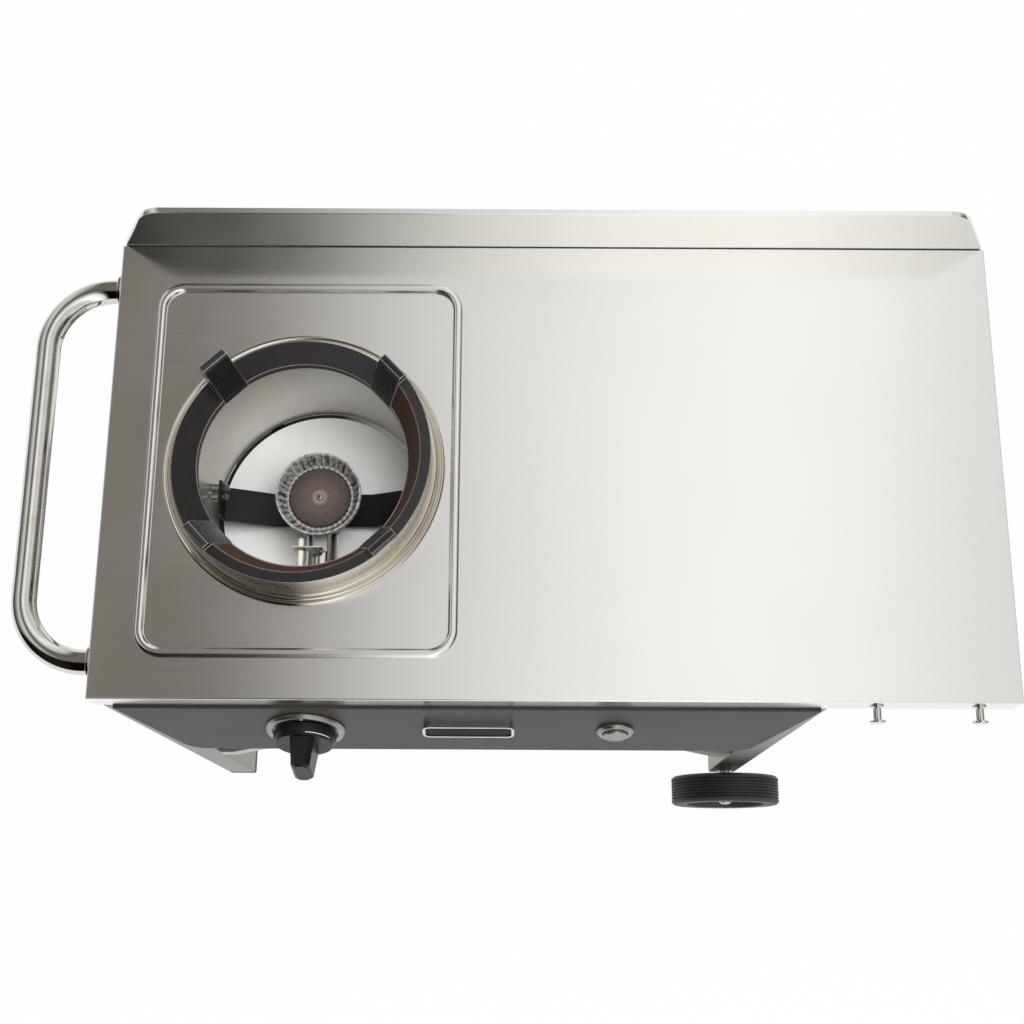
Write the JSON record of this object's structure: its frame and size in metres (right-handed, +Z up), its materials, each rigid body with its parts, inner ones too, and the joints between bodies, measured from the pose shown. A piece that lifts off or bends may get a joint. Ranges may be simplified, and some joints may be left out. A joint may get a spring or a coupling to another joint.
{
  "type": "outdoor wok station",
  "caption": "Wheeled stainless table with a sunken gas wok burner under a lugged cast ring, a tilted control panel, a backsplash, a side handle and a lower shelf.",
  "frame": {"origin": "middle of the footprint on the floor", "axes": "+X to the right along the table, +Y from the control panel to the backsplash, +Z up"},
  "size_m": [1.002, 0.6042, 0.825],
  "materials": {
    "stainless": "brushed",
    "leg_steel": "satin",
    "chrome": "polished",
    "cast_iron": "matt",
    "burner_alloy": "sooted",
    "bowl_steel": "satin",
    "black_enamel": "satin",
    "zinc_steel": "zinc plated",
    "ceramic": "glazed ceramic",
    "panel_paint": "satin",
    "satin_aluminium": "satin",
    "knob_plastic": "fine grained",
    "gas_brass": "machined",
    "foot_rubber": "matt",
    "hub_plastic": "matt",
    "tyre_rubber": "matt"
  },
  "bodies": {
    "frame": {"table_top": "stainless", "backsplash": "stainless", "burner_collar": "stainless", "lower_shelf": "stainless", "front_left_leg": "leg_steel", "rear_left_leg": "leg_steel", "front_right_leg": "leg_steel", "rear_right_leg": "leg_steel", "front_rail": "leg_steel", "rear_rail": "leg_steel", "left_rail": "leg_steel", "right_rail": "leg_steel", "side_handle": "chrome", "handle_flange_front": "chrome", "handle_flange_back": "chrome", "tool_peg_left": "chrome", "tool_peg_right": "chrome", "burner_tube": "chrome", "air_shutter": "chrome", "burner_head": "cast_iron", "burner_cap": "burner_alloy", "burner_bowl": "bowl_steel", "drip_pan": "bowl_steel", "burner_bracket": "black_enamel", "bracket_bolts": "zinc_steel", "cap_screw": "zinc_steel", "electrode_bracket": "zinc_steel", "axle": "zinc_steel", "axle_spacer_front": "zinc_steel", "axle_spacer_rear": "zinc_steel", "axle_cap_front": "zinc_steel", "axle_cap_rear": "zinc_steel", "electrode": "ceramic", "control_panel": "panel_paint", "knob_bezel": "satin_aluminium", "igniter_bezel": "satin_aluminium", "badge_plate": "satin_aluminium", "igniter_module": "knob_plastic", "valve_body": "gas_brass", "gas_pipe": "gas_brass", "gas_inlet": "gas_brass", "front_left_foot": "foot_rubber", "rear_left_foot": "foot_rubber"},
    "wok_ring": {"wok_ring": "cast_iron"},
    "knob_push": {"spring_cup": "zinc_steel"},
    "knob": {"control_knob": "knob_plastic", "valve_stem": "gas_brass"},
    "igniter": {"igniter_button": "knob_plastic"},
    "front_wheel": {"front_hub": "hub_plastic", "front_tyre": "tyre_rubber"},
    "rear_wheel": {"rear_hub": "hub_plastic", "rear_tyre": "tyre_rubber"}
  },
  "joints": [
    {"name": "wok_ring_lift", "type": "slide", "parent": "frame", "child": "wok_ring", "axis": [0, 0, 1], "range_m": [0, 0.12]},
    {"name": "knob_push", "type": "slide", "parent": "frame", "child": "knob_push", "axis": [0, 0.9659, -0.2588], "range_m": [0, 0.003], "stiffness_N_per_m": 900, "springref_m": -0.003},
    {"name": "knob_turn", "type": "hinge", "parent": "knob_push", "child": "knob", "pos_m": [-0.21, -0.24307, 0.6567], "axis": [0, -0.9659, 0.2588], "range_deg": [0, 130]},
    {"name": "igniter_press", "type": "slide", "parent": "frame", "child": "igniter", "axis": [0, 0.9659, -0.2588], "range_m": [0, 0.0035], "stiffness_N_per_m": 700, "springref_m": -0.003},
    {"name": "front_wheel_spin", "type": "hinge", "parent": "frame", "child": "front_wheel", "pos_m": [0.303, 0, 0.075], "axis": [0, 1, 0], "continuous": true},
    {"name": "rear_wheel_spin", "type": "hinge", "parent": "frame", "child": "rear_wheel", "pos_m": [0.303, 0, 0.075], "axis": [0, 1, 0], "continuous": true}
  ]
}
